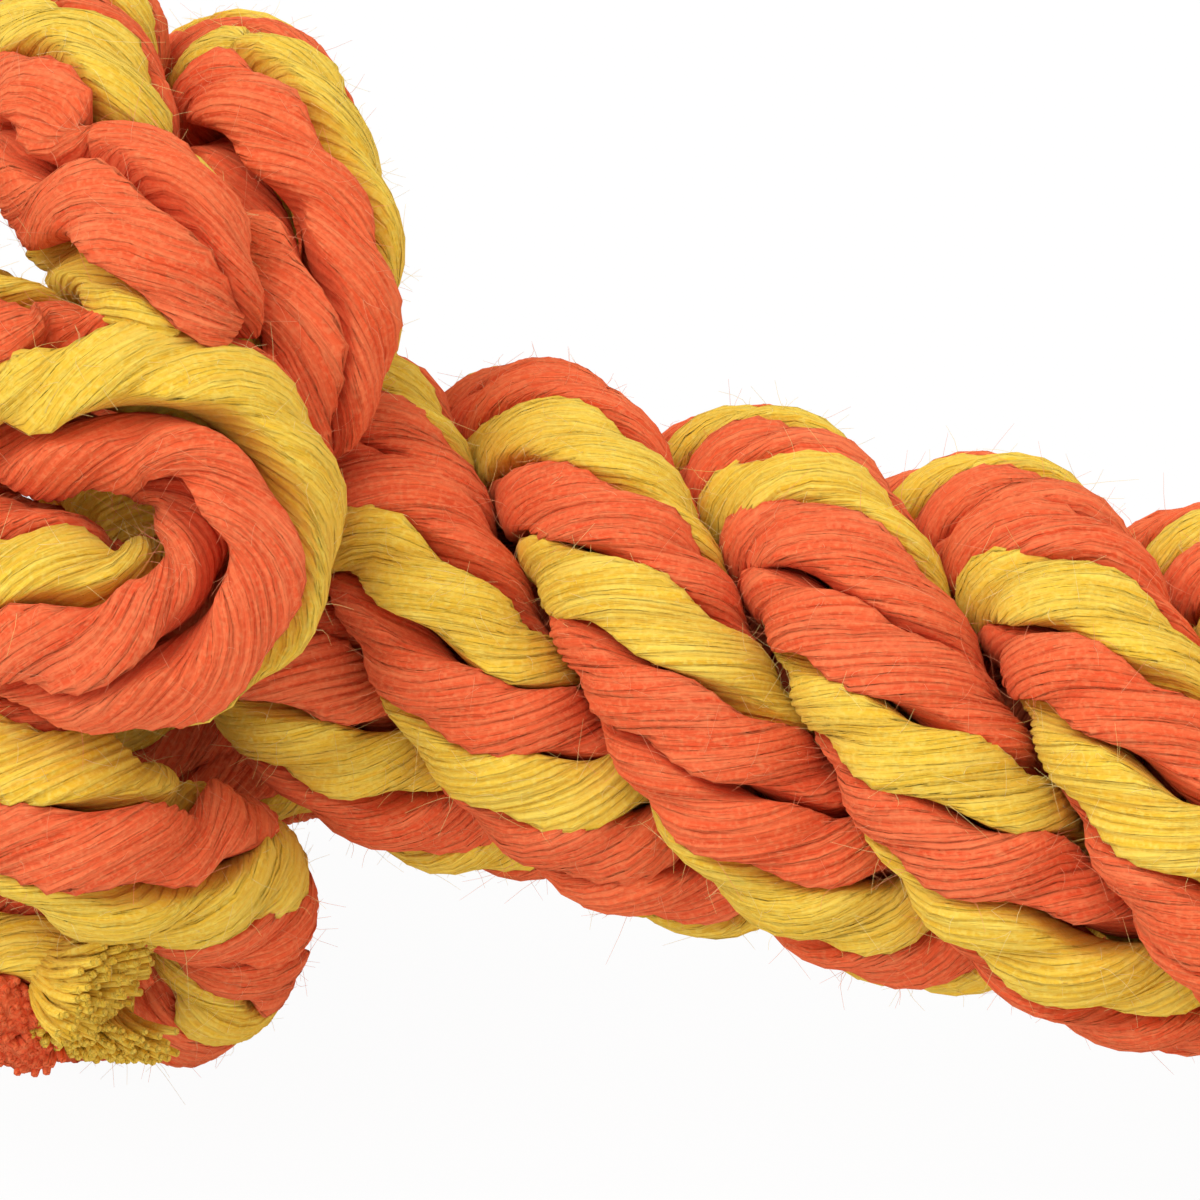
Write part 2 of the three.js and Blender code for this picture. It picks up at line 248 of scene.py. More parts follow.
# %% Name the strengths of the pushes
SETTLING_STEPS = 420
SETTLING_GAP = 0.9
LENGTH_SHARE = 0.93  # of the drawn length, which the settled ropes keep
TIGHTEST_BEND = 9.2
SQUARENESS = 2.6  # of the knot's outline: 2 is an ellipse
OPEN_END = 0.6  # share of half the knot's length, past which the neck side is open
OWN_REACH = 1.9  # rope thicknesses along itself in which a rope doesn't feel itself
STUB_REACH = 2.5  # rope thicknesses of the grip that the knot's ropes are kept off
STUB_POINTS = 13
ROPE_PUSH = 0.3
STUB_PUSH = 0.5
HEART_PUSH = 0.5
DRAWN_PULL = 0.16
LETTING_GO = 0.55  # share of the steps after which the drawn routes pull no more
OUTLINE_PULL = 0.3
LARGEST_STEP = 0.3  # of the distance between two points
BEND_ROUNDS = 3
BEND_SPANS = (1, 2, 3)
BEND_PUSH = 0.16
LENGTH_PULL = 0.25
TINY = 1e-9
print("drawn routes pull for", round(LETTING_GO * SETTLING_STEPS), "of", SETTLING_STEPS, "steps")


# %% Settle the knot
def settled_knot(lines):
    """The middle lines of the four ropes of a knot, lying together without overlap."""
    place = np.vstack(lines)
    drawn = place.copy()
    rope = np.repeat(np.arange(ROPES), [len(line) for line in lines])
    order = np.concatenate([np.arange(len(line)) for line in lines])
    loose = order > 1
    own_reach = math.ceil(OWN_REACH * KNOT_ROPE / SAMPLE)
    near = (rope[:, None] == rope) & (abs(order[:, None] - order) < own_reach)
    depth = -STUB_REACH * ROPE * np.arange(1, STUB_POINTS + 1) / STUB_POINTS
    stubs = np.vstack([
        point_at(depth, FIRST_TURN - 360 / ROPES * k - GRIP_TWIST * depth, GRIP_RADIUS)
        for k in range(ROPES)])
    own_stub = rope[:, None] == np.repeat(np.arange(ROPES), STUB_POINTS)
    own_stub &= order[:, None] < own_reach
    link = np.flatnonzero(rope[1:] == rope[:-1])
    rest = np.linalg.norm(place[link + 1] - place[link], axis=1) * LENGTH_SHARE
    centre = np.array([KNOT_LENGTH / 2, 0, 0])
    half = (np.array([KNOT_LENGTH, KNOT_DIAMETER]) - KNOT_ROPE) / 2

    def pushes(step):
        """Ropes, stubs and heart push, the drawn routes and the knot's outline pull."""
        thick = rope_diameter(place[:, 0])
        apart = place[:, None] - place[None]
        distance = np.linalg.norm(apart, axis=2) + TINY
        short = np.maximum(0, (thick[:, None] + thick) / 2 + SETTLING_GAP - distance)
        short[near] = 0
        moves = ROPE_PUSH * (apart * (short / distance)[..., None]).sum(1)
        apart = place[:, None] - stubs[None]
        distance = np.linalg.norm(apart, axis=2)
        short = np.maximum(0, (thick[:, None] + ROPE) / 2 + SETTLING_GAP - distance)
        short[own_stub] = 0
        moves += STUB_PUSH * (apart * (short / distance)[..., None]).sum(1)
        from_axis = np.hypot(place[:, 1], place[:, 2])
        clear = HEART_DIAMETER / 2 + ROPE_GAP + thick / 2
        push = HEART_PUSH * np.maximum(0, clear - from_axis) / from_axis
        moves[:, 1:] += place[:, 1:] * (push * (place[:, 0] < HEART_REACH + clear))[:, None]
        moves += DRAWN_PULL * max(0, 1 - step / (LETTING_GO * SETTLING_STEPS)) * (drawn - place)
        lengthwise = place[:, 0] - centre[0]
        reach = (abs(lengthwise / half[0]) ** SQUARENESS
                 + (from_axis / half[1]) ** SQUARENESS) ** (1 / SQUARENESS)
        outside = (reach > 1) & (lengthwise >= -OPEN_END * half[0])
        moves[outside] += OUTLINE_PULL * ((centre - place) * (1 - 1 / reach)[:, None])[outside]
        return moves

    def easing():
        """Sharp bends open up, and each link goes back to its length."""
        moves = np.zeros_like(place)
        for span in BEND_SPANS:
            limit = (span * SAMPLE * LENGTH_SHARE) ** 2 / (2 * TIGHTEST_BEND)
            mid = np.flatnonzero(rope[2 * span:] == rope[:-2 * span]) + span
            bow = place[mid] - 0.5 * (place[mid - span] + place[mid + span])
            sag = np.linalg.norm(bow, axis=1) + TINY
            bow *= (BEND_PUSH * np.maximum(0, sag - limit) / sag)[:, None]
            np.add.at(moves, mid, -bow)
            for aside in (mid - span, mid + span):
                np.add.at(moves, aside, 0.5 * bow)
        stretch = place[link + 1] - place[link]
        stretch *= (LENGTH_PULL * (1 - rest / np.linalg.norm(stretch, axis=1)))[:, None]
        np.add.at(moves, link, stretch)
        np.add.at(moves, link + 1, -stretch)
        return moves

    def apply(moves):
        """Moves the loose points, none by more than the largest step."""
        length = np.linalg.norm(moves, axis=1, keepdims=True)
        moves = moves * np.minimum(1, LARGEST_STEP * SAMPLE / np.maximum(length, TINY))
        place[loose] += moves[loose]

    for step in range(SETTLING_STEPS):
        apply(pushes(step))
        for _ in range(BEND_ROUNDS):
            apply(easing())
    return [place[rope == k] for k in range(ROPES)]


knot = settled_knot(drawn_ropes)
print("settled ropes in a knot, mm:", [round(line_length(line)) for line in knot])

# %% [markdown]
# ## One rope from end to end
# The second knot is the first one turned end for end and rolled until its ropes meet those
# of the grip. Between the two, each rope winds round the heart rope.

# %% Join knot, grip and knot
WHOLE_STEPS = round((2 * FIRST_TURN + GRIP_TWIST * GRIP_LENGTH) / (360 / ROPES))
SECOND_ROLL = 2 * FIRST_TURN + GRIP_TWIST * GRIP_LENGTH - 360 / ROPES * WHOLE_STEPS
GRIP_SPACING = 0.72  # of the distance between two points in the knot


def rolled(points, degrees):
    """Points turned about the toy's length."""
    turn = np.array(Matrix.Rotation(math.radians(degrees), 3, "X"))
    return points @ turn.T


def whole_rope(rope):
    """The middle line of a rope, as the toy lies, in millimetres."""
    partner = (WHOLE_STEPS - rope) % ROPES
    first = knot[rope][:0:-1] * [-1, 1, 1] - [NECK, 0, 0]
    second = rolled(knot[partner][1:] * [1, -1, 1] + [NECK, 0, 0], SECOND_ROLL)
    x = np.linspace(-NECK, NECK, round(GRIP_LENGTH / (GRIP_SPACING * SAMPLE)) + 1)
    grip = point_at(x, FIRST_TURN - 360 / ROPES * rope + GRIP_TWIST * (x + NECK), GRIP_RADIUS)
    line = np.vstack([first, grip, second])
    return rolled(line, RESTING_ROLL) + GRIP_MIDDLE


rope_lines = [whole_rope(rope) for rope in range(ROPES)]
print("whole ropes, mm:", [round(line_length(line)) for line in rope_lines])

# %% [markdown]
# ## Tucked and cut ends
# Two of a knot's four ropes end pushed in under their neighbour, and the other two are cut
# off square on the outside. A tucked end is drawn a little further than the solid rope: it
# dives towards the middle of the knot and gets thinner.

# %% Tuck the ends in
TUCKED = (True, False, False, True)
TUCK_ALONG = (2.6, 5.2, 7.6, 9.4, 10.4)
TUCK_INWARD = (0.1, 0.7, 2.0, 4.2, 7.0)
TUCK_LENGTH = 12.0
TUCK_THINNER = 0.3


def unit(vectors):
    """Vectors made one long."""
    return vectors / np.maximum(np.linalg.norm(vectors, axis=-1, keepdims=True), TINY)


def tucked(line):
    """The line with some points added at its first end, diving into the knot."""
    out = unit(line[0] - line[1])
    middle = GRIP_MIDDLE + [np.sign(line[0, 0] - GRIP_MIDDLE[0]) * (NECK + KNOT_LENGTH / 2), 0, 0]
    inward = unit(middle - line[0])
    inward = unit(inward - out * (inward @ out))
    dive = [line[0] + out * a + inward * b for a, b in zip(TUCK_ALONG, TUCK_INWARD)]
    return np.vstack([dive[::-1], line])


ends_tucked = [(TUCKED[rope], TUCKED[(WHOLE_STEPS - rope) % ROPES]) for rope in range(ROPES)]
for rope, (first, second) in enumerate(ends_tucked):
    if first:
        rope_lines[rope] = tucked(rope_lines[rope])
    if second:
        rope_lines[rope] = tucked(rope_lines[rope][::-1])[::-1]
print("tucked ends:", ends_tucked)

# %% [markdown]
# ## The cords in a rope
# Five soft cords run round the middle of each rope, laid the other way from the ropes in the
# grip, so on the front they cross each rope as slanting bands. Going round they are orange,
# orange, yellow, orange, yellow. A frame is carried along the rope without twisting, and the
# cords turn about it. In a used toy they don't turn evenly: pulling and chewing shift them,
# so each rope has a list of shifts in degrees, one every centimetre, chosen to bring the
# bands to where they are on the real toy.

# %% Lay the middle lines of the cords
CORD_COLOURS = ("orange", "orange", "yellow", "orange", "yellow")
CORDS = len(CORD_COLOURS)
CORD_LAY = 31.0
RING_SPACING = 1.15
CORD_CIRCLE_SHARE = 0.63
GRIP_TORSION = 1 / (LAY_LENGTH / math.tau + GRIP_RADIUS ** 2 * math.tau / LAY_LENGTH)
CORD_TURN = GRIP_TORSION - math.tau / CORD_LAY
SHIFT_STEP = 10.0
# For each rope: the place of the first shift along it, from its first neck, and the shifts.
BAND_SHIFTS = (
    (-260, (-405, -405, -375, -315, -260, -240, -210, -190, -175, -160, -150, -150, -150, -140,
         -135, -130, -125, -125, -125, -125, -130, -125, -120, -115, -110, -110, -120, -140,
         -100, -105, -115, -75, -65, -60, -60, -55, -65, -65, -65)),
    (-210, (-85, -85, -85, -85, -90, -95, -100, -110, -105, -120, -75, -80, -80, -80, -80, -80,
         -85, -95, -100, -105, -100, -95, -95, -95, -75, -75, -60, -40, -20, -20, 15, 40, 40)),
    (-220, (-205, -190, -175, -165, -155, -145, -135, -125, -110, -85, -25, 35, 95, 135, 140,
         140, 140, 140, 140, 125, 115, 115, 130, 130, 125, 125, 125, 130, 100, 120, 125, 130,
         185, 225)),
    (-230, (-110, -120, -60, 0, 30, 30, 25, 35, 45, 55, 65, 75, 80, 85, 90, 95, 100, 105, 110,
         115, 135, 135, 110, 125, 155, 150, 160, 175, 190, 195, 190, 185, 165, 175, 200, 210)),
)
STRETCH_LIMITS = (0.5, 1.75)
SMOOTH_POINTS = 6


def carried_frame(line):
    """The directions along a line, and a side direction carried along it without twist."""
    along = unit(np.gradient(line, axis=0))
    side = np.empty_like(along)
    carried = rolled(np.array([0.0, 1.0, 0.0]), RESTING_ROLL)
    for index, direction in enumerate(along):
        carried = unit(carried - direction * (carried @ direction))
        side[index] = carried
    return along, side


def cords_of(line, shifts, spacing=RING_SPACING, tucks=(False, False)):
    """The five cords of a rope: middle lines, outward directions, how far bending pulls
    them apart, and the rope's half thickness at each ring."""
    middle = spaced(smooth_line(line, SMOOTH_POINTS), spacing)
    along, side = carried_frame(middle)
    across = np.cross(along, side)
    bend = np.gradient(along, axis=0) / spacing
    length = spacing * np.arange(len(middle))
    place = middle[:, 0] - GRIP_MIDDLE[0]
    half = rope_diameter(abs(place) - NECK) / 2
    for is_tucked, to_end in zip(tucks, (length, length[-1] - length)):
        if is_tucked:
            share = np.clip(1 - to_end / TUCK_LENGTH, 0, 1)
            half = half * (1 - TUCK_THINNER * share * share)
    from_neck = length - length[abs(place) < NECK][0]
    start, degrees = shifts
    shift = np.interp(from_neck, start + SHIFT_STEP * np.arange(len(degrees)), degrees)
    turn = np.radians(shift) + CORD_TURN * from_neck
    cords = []
    for cord in range(CORDS):
        angle = turn + math.tau * cord / CORDS
        outward = side * np.cos(angle)[:, None] + across * np.sin(angle)[:, None]
        stretch = np.clip(1 - half * (bend * outward).sum(1), *STRETCH_LIMITS)
        cords.append((middle + outward * (half * CORD_CIRCLE_SHARE)[:, None], outward, stretch))
    return cords, half


laid = [cords_of(rope_lines[rope], BAND_SHIFTS[rope], tucks=ends_tucked[rope])
        for rope in range(ROPES)]
print("rings in each cord:", [len(half) for _, half in laid])

# %% [markdown]
# ## The skin of a cord
# A cord is soft: it bulges outwards and is pressed flat against its neighbours, so its
# section is a wedge with a round back. It is twisted from two plies that bulge like puffs
# along its edges, and along them run single yarns. The skin is a tube of rings. Its columns
# follow the yarns, three columns to a yarn, and are closest together on the outer side,
# where they show. Heights for plies and yarns are added to a plain wedge, with a little
# unevenness everywhere.

# %% Shape the plies
PLIES = 2
PLY_PITCH = 20.0
PLY_REACH = 1.05
PLY_RADIUS = 2.0
PLY_WANDER = 0.5
PLY_WANDER_STEP = 15
PLY_WANDER_SEED = 7


def slow_noise(places, step, seed):
    """A smooth random curve between -1 and 1 that changes over about a step."""
    knots = np.random.default_rng(seed).uniform(-1, 1, int(places.max() / step) + 4)
    at = places / step
    whole = at.astype(int)
    share = at - whole
    share = share * share * (3 - 2 * share)
    return knots[whole] * (1 - share) + knots[whole + 1] * share


def ply_height(angle):
    """How far the skin reaches at an angle, as a share, with the plies side by side."""
    away = (angle + math.pi / PLIES) % (math.tau / PLIES) - math.pi / PLIES
    reach = PLY_REACH * np.cos(away)
    reach = reach + np.sqrt(PLY_RADIUS ** 2 - (PLY_REACH * np.sin(away)) ** 2)
    return reach / (PLY_REACH + PLY_RADIUS)


def ply_turn(length, seed):
    """How far round its cord the first ply is, along the cord."""
    wander = PLY_WANDER * slow_noise(length, PLY_WANDER_STEP, seed + PLY_WANDER_SEED)
    return wander + seed - math.tau * length / PLY_PITCH


print("between two plies the skin is at", round(float(ply_height(math.pi / PLIES)), 2))

# %% Let puffs push the neighbours
# How far puffs push the line between two cords, and where on the cords they do.
EDGE_PUSH = 1.8
EDGE_TURN = math.radians(58)
EDGE_LEAD = 1.7


def edge_waves(length, seeds, cord):
    """How the lines between a cord and its two neighbours wander, where puffs push."""
    def line_between(low, high, shift):
        at = length + shift
        puff = ply_height(EDGE_TURN - ply_turn(np.maximum(at - EDGE_LEAD, 0), seeds[low]))
        other = ply_height(-EDGE_TURN - ply_turn(at + EDGE_LEAD, seeds[high]))
        return EDGE_PUSH * (puff - other)

    return (-line_between((cord - 1) % CORDS, cord, -EDGE_LEAD),
            line_between(cord, (cord + 1) % CORDS, EDGE_LEAD))


waves = edge_waves(np.arange(PLY_PITCH), range(CORDS), 0)
print("neighbours are pushed by up to", round(float(np.abs(waves).max()), 2), "mm")

# %% Name the sizes of a cord's skin
# The wedge: its reach outwards, its width at the crown and how square its back is.
COLUMNS = 48
ROPE_HALF = ROPE / 2
CORD_DEPTH = 3.05
CROWN_SHARE = 0.85
WIDE_SHARE = 1.55
SQUARER = 0.8
SQUARE_SOFTENER = 0.04
LEAST_RADIUS = 0.3
CORD_ROUND = 18.0  # the way round a cord on the map
CORD_CAP = 0.7  # the rise of the dome on its ends
# Where neighbours press: the share of the room from which a cord is squeezed.
PRESSED_FROM = 0.85
LEAST_ROOM = 0.2
# The yarns: heights of a yarn's three columns, and how far along a yarn goes once round.
YARN_HEIGHTS = np.array([-0.15, 0.05, 0.05])
YARN_PITCH = 27.0
CLOSER_OUTSIDE = 0.45
SIDE_SMOOTHER = 0.95
# Unevenness: how much, over which length it changes, and its seeds.
YARN_WANDER = 0.45
YARN_UNEVENNESS = 0.5
YARN_LIFT = 0.07
YARN_STEP = 5.5
YARN_SEEDS = 31
FULLNESS_CHANGE = 0.03
FULLNESS_STEP = 8
FULLNESS_SEED = 3
PLY_SHARE = 0.6
PLY_CHANGE = 0.3
PLY_CHANGE_STEP = 9
PLY_CHANGE_SEED = 11
# Painted shade in the folds: where each kind starts, over what range, and its share.
YARN_GROOVE_SHADE = (0.03, 0.25, 0.5)
PLY_GROOVE_SHADE = (0.84, 0.2, 0.6)
CORD_PRESS_SHADE = (0.4, 0.5)
print("yarns round a cord:", COLUMNS // len(YARN_HEIGHTS))


# %% Shape the skin of a cord
def cord_skin(cords, half, seeds, cord, columns=COLUMNS):
    """A cord's skin: rings of points, how much painted shade each gets in grooves and where it
    is pressed, the length along it, the way round it on the map and the rise of its caps."""
    middle, outward, stretch = cords[cord]
    seed = seeds[cord]
    along = unit(np.gradient(middle, axis=0))
    up = unit(outward - along * (outward * along).sum(1, keepdims=True))
    side = np.cross(along, up)
    length = np.r_[0, np.cumsum(np.linalg.norm(np.diff(middle, axis=0), axis=1))]
    each = len(YARN_HEIGHTS)
    yarn = np.arange(columns) // each
    uneven = np.stack([slow_noise(length, YARN_STEP, seed * YARN_SEEDS + k)
                       for k in range(yarn.max() + 1)], 1)
    share = (np.arange(columns) + YARN_WANDER * uneven[:, yarn]) / columns
    share = share - length[:, None] / YARN_PITCH
    angle = math.tau * share - CLOSER_OUTSIDE * np.sin(math.tau * share)
    size = (half / ROPE_HALF)[:, None]
    change = PLY_CHANGE * slow_noise(length, PLY_CHANGE_STEP, seed + PLY_CHANGE_SEED)
    depth = PLY_SHARE * (1 + change)[:, None]
    ply = 1 - depth * (1 - ply_height(angle - ply_turn(length, seed)[:, None]))
    relief = YARN_HEIGHTS[np.arange(columns) % each] * (1 + YARN_UNEVENNESS * uneven[:, yarn])
    relief = relief + YARN_LIFT * uneven[:, yarn]
    relief = relief * (1 - SIDE_SMOOTHER * np.sin(angle) ** 2)
    relief = relief * np.minimum(stretch, 1)[:, None] ** 2
    change = FULLNESS_CHANGE * slow_noise(length, FULLNESS_STEP, seed + FULLNESS_SEED)
    fullness = 1 + change[:, None]

    def room_at(radius):
        pulled = stretch[:, None]
        steep = np.sqrt(pulled ** 2 + (radius * CORD_TURN) ** 2)
        return radius * math.pi / CORDS * pulled / steep

    crown = room_at(half[:, None] * CROWN_SHARE) * WIDE_SHARE
    wide = (crown * ply * fullness + relief * size) * np.sin(angle)
    square = np.cos(angle) * (np.cos(angle) ** 2 + SQUARE_SOFTENER) ** ((SQUARER - 1) / 2)
    high = (CORD_DEPTH * ply * fullness + relief) * square * size
    radius = np.maximum(half[:, None] * CORD_CIRCLE_SHARE + high, LEAST_RADIUS)
    waves = edge_waves(length, seeds, cord)
    shift = np.where(wide > 0, waves[1][:, None], waves[0][:, None]) * size
    room = room_at(radius) + shift * np.clip(radius / half[:, None], 0, 1) ** 2
    room = np.maximum(room, LEAST_ROOM)
    fill = abs(wide) / room
    over = (fill - PRESSED_FROM) / (1 - PRESSED_FROM)
    pressed = np.where(over < 0, fill, PRESSED_FROM + (1 - PRESSED_FROM) * np.tanh(over))
    # Painted shade: deeper in yarn and ply grooves and where the cord is pressed on a neighbour.
    groove_shade = np.zeros_like(relief)
    for height, (start, span, share) in ((relief, YARN_GROOVE_SHADE), (ply, PLY_GROOVE_SHADE)):
        groove_shade = groove_shade + np.clip((start - height) / span, 0, 1) * share
    span, share = CORD_PRESS_SHADE
    groove_shade = groove_shade + np.clip((fill - PRESSED_FROM) / span, 0, 1) * share
    wide = np.sign(wide) * pressed * room
    points = middle[:, None] + side[:, None] * wide[..., None] + up[:, None] * high[..., None]
    return points[None], np.clip(groove_shade, 0, 1)[None], length[None], CORD_ROUND, CORD_CAP


trial = cord_skin(*laid[0], range(CORDS), 0)
print("rings and columns of a cord:", trial[0].shape[1:3])

# %% [markdown]
# ## From rings to a mesh
# The skins are joined ring by ring into quads and closed with a low dome at both ends. Each
# corner also gets a place on a map in millimetres, across the yarns and along them. The
# material draws fibres on that map, so they follow every bend and twist.

# %% List the corners of a group of tubes
# Painted shade given to the domes on the tubes' ends.
CAP_DOME_SHADE = 0.2
MAP_TUBE_STEP = 2.7  # ways round a tube, from one tube to the next on the map
MAP_GROUP_STEP = 40  # millimetres on the map between two groups
TRIANGLE, QUAD = 3, 4


def tubes_as_lists(group, first, place_on_map):
    """Points, corners, sides of the faces, places on the map and painted groove shade of equal
    tubes. The numbers of the points start from first."""
    rings, groove_shade, length, round_it, rise = group
    number, count, columns = groove_shade.shape
    low, high = rings[:, 0].mean(1), rings[:, -1].mean(1)
    low = low + unit(low - rings[:, 1].mean(1)) * rise
    high = high + unit(high - rings[:, -2].mean(1)) * rise
    body = rings.reshape(number, -1, 3)
    points = np.concatenate([body, low[:, None], high[:, None]], 1).reshape(-1, 3)
    groove_shades = np.concatenate(
        [groove_shade.reshape(number, -1), np.full((number, 2), CAP_DOME_SHADE)], 1).ravel()
    each = count * columns + 2
    tube = np.arange(number)[:, None, None, None]
    start = first + each * tube
    ring, column = np.meshgrid(np.arange(count - 1), np.arange(columns), indexing="ij")
    after = (column + 1) % columns
    quads = np.stack([ring * columns + column, ring * columns + after,
                      (ring + 1) * columns + after, (ring + 1) * columns + column], -1)
    across = round_it * np.stack([column, column + 1, column + 1, column], -1) / columns
    across = across + MAP_TUBE_STEP * round_it * tube + place_on_map
    here, there = length[:, ring], length[:, ring + 1]
    run = np.stack([here, here, there, there], -1)
    corners, places = [(start + quads).ravel()], [np.stack([across, run], -1).reshape(-1, 2)]
    around, following = column[0], after[0]
    top = (count - 1) * columns
    foot = np.stack([np.full(columns, each - 2), following, around], -1)
    head = np.stack([np.full(columns, each - 1), top + around, top + following], -1)
    spread = round_it * np.stack([0.5 + 0 * around, around / columns,
                                  (around + 1) / columns], -1)
    for cap, end in ((foot, length[:, 0]), (head, length[:, -1])):
        corners.append((start[..., 0] + cap).ravel())
        flat, level = np.broadcast_arrays(spread, end[:, None, None])
        places.append(np.stack([flat, level], -1).reshape(-1, 2))
    sides = np.repeat([QUAD, TRIANGLE], [number * (count - 1) * columns, number * columns * 2])
    return points, np.concatenate(corners), sides, np.vstack(places), groove_shades


print("points of a cord with its caps:", len(tubes_as_lists(trial, 0, 0)[0]))

# %% Turn tubes into a piece
LYING_HEIGHT = 0.02  # above the floor, where anything lower is pressed flat


def piece_from_tubes(name, groups, material, node=None):
    """One closed mesh from groups of tubes, riding on the root."""
    lists = []
    first = 0
    for number, group in enumerate(groups, 1):
        lists.append(tubes_as_lists(group, first, MAP_GROUP_STEP * number))
        first += len(lists[-1][0])
    points, corners, sides, places, groove_shades = (np.concatenate(parts) for parts in zip(*lists))
    points[:, 2] = np.maximum(points[:, 2], LYING_HEIGHT)
    points = points * MM
    mesh = bpy.data.meshes.new(name)
    mesh.vertices.add(len(points))
    mesh.vertices.foreach_set("co", points.ravel())
    mesh.loops.add(len(corners))
    mesh.loops.foreach_set("vertex_index", corners)
    mesh.polygons.add(len(sides))
    mesh.polygons.foreach_set("loop_start", np.r_[0, np.cumsum(sides)[:-1]])
    mesh.update(calc_edges=True)
    mesh.uv_layers.new(name="yarn_map").data.foreach_set("uv", places.ravel())
    # The painted shade goes with the mesh as an attribute, for the material to darken with.
    depth = mesh.attributes.new("groove_shade", "FLOAT", "POINT")
    depth.data.foreach_set("value", groove_shades)
    mesh.shade_smooth()
    mesh.materials.append(material)
    piece = bpy.data.objects.new(name, mesh)
    bpy.context.scene.collection.objects.link(piece)
    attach(piece, "root")
    if node:
        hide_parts(node)
    print(name, len(sides), "faces")
    return piece


# %% [markdown]
# ## Cotton
# The cords are dyed cotton: matt, a little furry, with single fibres that catch the light
# and a few pale flecks. Two noises stretched along the yarns draw fibres and uneven dye, and a
# wave across the map rounds off each yarn and paints shade at its edges. The groove depth that
# was kept with the mesh paints shade into the folds, and a soft sheen stands for the fur.

# %% Make helpers for finishes
MIX_FIRST, MIX_SECOND, MIX_RESULT = 6, 7, 2  # the sockets of a mix node for colours


def linear(red, green, blue):
    """A colour read off a screen, as the values that Blender works with (the sRGB curve)."""
    values = [channel / 255 for channel in (red, green, blue)]
    values = [v / 12.92 if v <= 0.04045 else ((v + 0.055) / 1.055) ** 2.4 for v in values]
    return (*values, 1.0)


def new_node(tree, kind, inputs, **settings):
    """The outputs of a new node. Each input gets a value or a link from another node."""
    new = tree.nodes.new("ShaderNode" + kind)
    for name, value in settings.items():
        setattr(new, name, value)
    for name, value in inputs.items():
        if isinstance(value, bpy.types.NodeSocket):
            tree.links.new(value, new.inputs[name])
        else:
            new.inputs[name].default_value = value
    return new.outputs


def mixed(tree, factor, first, second):
    """Two colours mixed."""
    inputs = {"Factor": factor, MIX_FIRST: first, MIX_SECOND: second}
    return new_node(tree, "Mix", inputs, data_type="RGBA")[MIX_RESULT]


def new_finish(name, looks):
    """A material, its node tree and its shader's inputs, some of them set."""
    material = bpy.data.materials.new(name)
    material.use_nodes = True
    inputs = material.node_tree.nodes["Principled BSDF"].inputs
    for look, value in looks.items():
        inputs[look].default_value = value
    return material, material.node_tree, inputs


print("white as Blender's values:", linear(255, 255, 255))

# %% Name the looks of cotton
# Noises along the yarns: millimetres across, millimetres along, detail.
DYE_STREAKS = (1.0, 9.0, 3.0)
FIBRE_LINES = (0.32, 3.0, 5.0)
STREAK_ROUGHNESS = 0.6
# Noises in space: scale, detail.
TANGLE = (2400, 5)
PATCHES = (110, 4)
FLECKS = (600, 2)
# How each is used: from, to, least share, largest share.
STREAK_RANGE = (0.35, 0.68, 0.0, 1.0)
PATCH_RANGE = (0.35, 0.65, 0.15, 0.75)
LINE_RANGE = (0.5, 0.68, 0.0, 0.4)
TANGLE_RANGE = (0.46, 0.66, 0.0, 0.7)
FLECK_RANGE = (0.66, 0.76, 0.0, 0.75)
# The last two paint shade: at the edges of each yarn and down in the grooves.
YARN_EDGE_SHADE_RANGE = (0.3, 1.0, 0.0, 0.2)
GROOVE_SHADE_RANGE = (0.2, 1.0, 0.0, 0.6)
# Relief: strength, height in millimetres.
YARN_RELIEF = (1.0, 0.09)
LINE_RELIEF = (0.8, 0.17)
FUR_RELIEF = (0.5, 0.18)
YARN_SLIP = 3.0  # radians by which the yarns' edges wander
YARN_TURN = math.tau * COLUMNS / len(YARN_HEIGHTS) / CORD_ROUND
SHEEN = {"Roughness": 0.92, "Specular IOR Level": 0.12, "Sheen Weight": 0.6,
         "Sheen Roughness": 0.5}
print("yarns are", round(math.tau / YARN_TURN, 2), "mm wide on the map")


